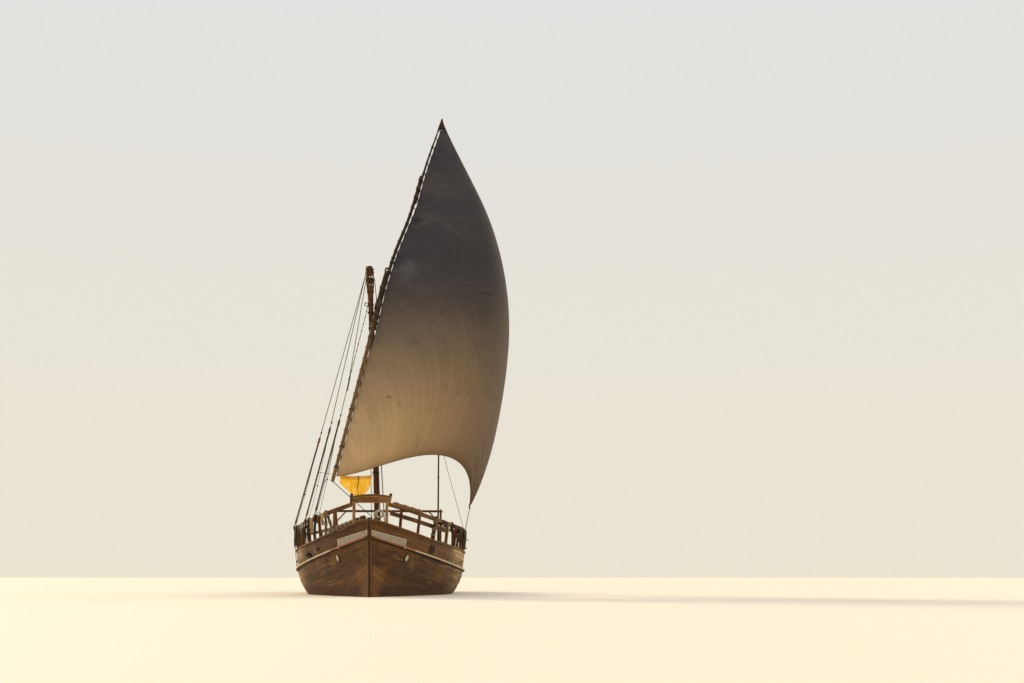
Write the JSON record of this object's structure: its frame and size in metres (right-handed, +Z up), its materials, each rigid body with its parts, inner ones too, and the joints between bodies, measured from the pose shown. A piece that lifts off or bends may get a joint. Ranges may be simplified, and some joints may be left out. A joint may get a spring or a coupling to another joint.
{
  "type": "lateen rigged sailing dhow",
  "caption": "Wooden sailing dhow with a raked mast, one lateen sail on a long lashed yard, open top rails, carved bow boards, a stern rudder with a tiller and a whole hull.",
  "frame": {"origin": "on the waterline, on the centreline, amidships", "axes": "+X forward to the bow, +Y to port, +Z up"},
  "size_m": [25.5196, 10.4088, 27.1523],
  "materials": {
    "planking": "oiled planks, weathered",
    "backbone": "dark oiled timber",
    "deck": "bare scrubbed planks",
    "upperworks": "weathered timber",
    "wale": "worn paint on timber",
    "carving": "whitewashed carving",
    "spar": "oiled spar",
    "mast": "oiled spar",
    "rope": "laid coir rope",
    "iron": "rusty forged iron",
    "canvas": "weathered cotton canvas",
    "awning": "thin dyed cotton"
  },
  "bodies": {
    "hull": {"hull_planking": "planking", "deck_planking": "deck", "keel": "backbone", "stem_post": "backbone", "stern_post": "backbone", "transom": "planking", "bulwark_port": "planking", "bulwark_starboard": "planking", "cap_rail_port": "upperworks", "cap_rail_starboard": "upperworks", "rubbing_strake_port": "wale", "rubbing_strake_starboard": "wale", "open_rail_port": "upperworks", "open_rail_starboard": "upperworks", "carved_board_port": "carving", "carved_board_starboard": "carving", "bow_eye_port": "carving", "bow_eye_starboard": "carving", "bow_crossbeam": "upperworks", "poop_deck": "deck", "poop_bulkhead": "planking", "hatch_coaming": "upperworks", "hatch_cover": "deck", "fore_bitts": "upperworks", "aft_bitts": "upperworks", "aft_gallows": "upperworks", "awning_pole": "spar", "pole_stay": "rope", "mast": "mast", "mast_partners": "backbone", "halyard_fall_port": "rope", "halyard_fall_starboard": "rope", "shroud_aft": "rope", "shroud_middle": "rope", "shroud_fore": "rope", "gudgeon_lower": "iron", "gudgeon_middle": "iron", "gudgeon_upper": "iron", "hanging_cloth": "awning"},
    "steering": {"rudder": "planking", "tiller": "spar"},
    "yard": {"yard_lower_spar": "spar", "yard_middle_spar": "spar", "yard_tip_spar": "spar", "yard_parrel": "rope", "halyard": "rope", "sail": "canvas", "sheet_rope": "rope", "tack_rope": "rope"}
  },
  "joints": [
    {"name": "yard_swing", "type": "hinge", "parent": "hull", "child": "yard", "pos_m": [3.55, 0.05, 1.4], "axis": [0.1302, -0.0412, 0.9906], "range_deg": [-25, 8], "deforming": ["sheet_rope", "tack_rope"]},
    {"name": "rudder_turn", "type": "hinge", "parent": "hull", "child": "steering", "pos_m": [-11.6747, 0, 0], "axis": [-0.2516, 0, 0.9678], "range_deg": [-35, 35]}
  ]
}
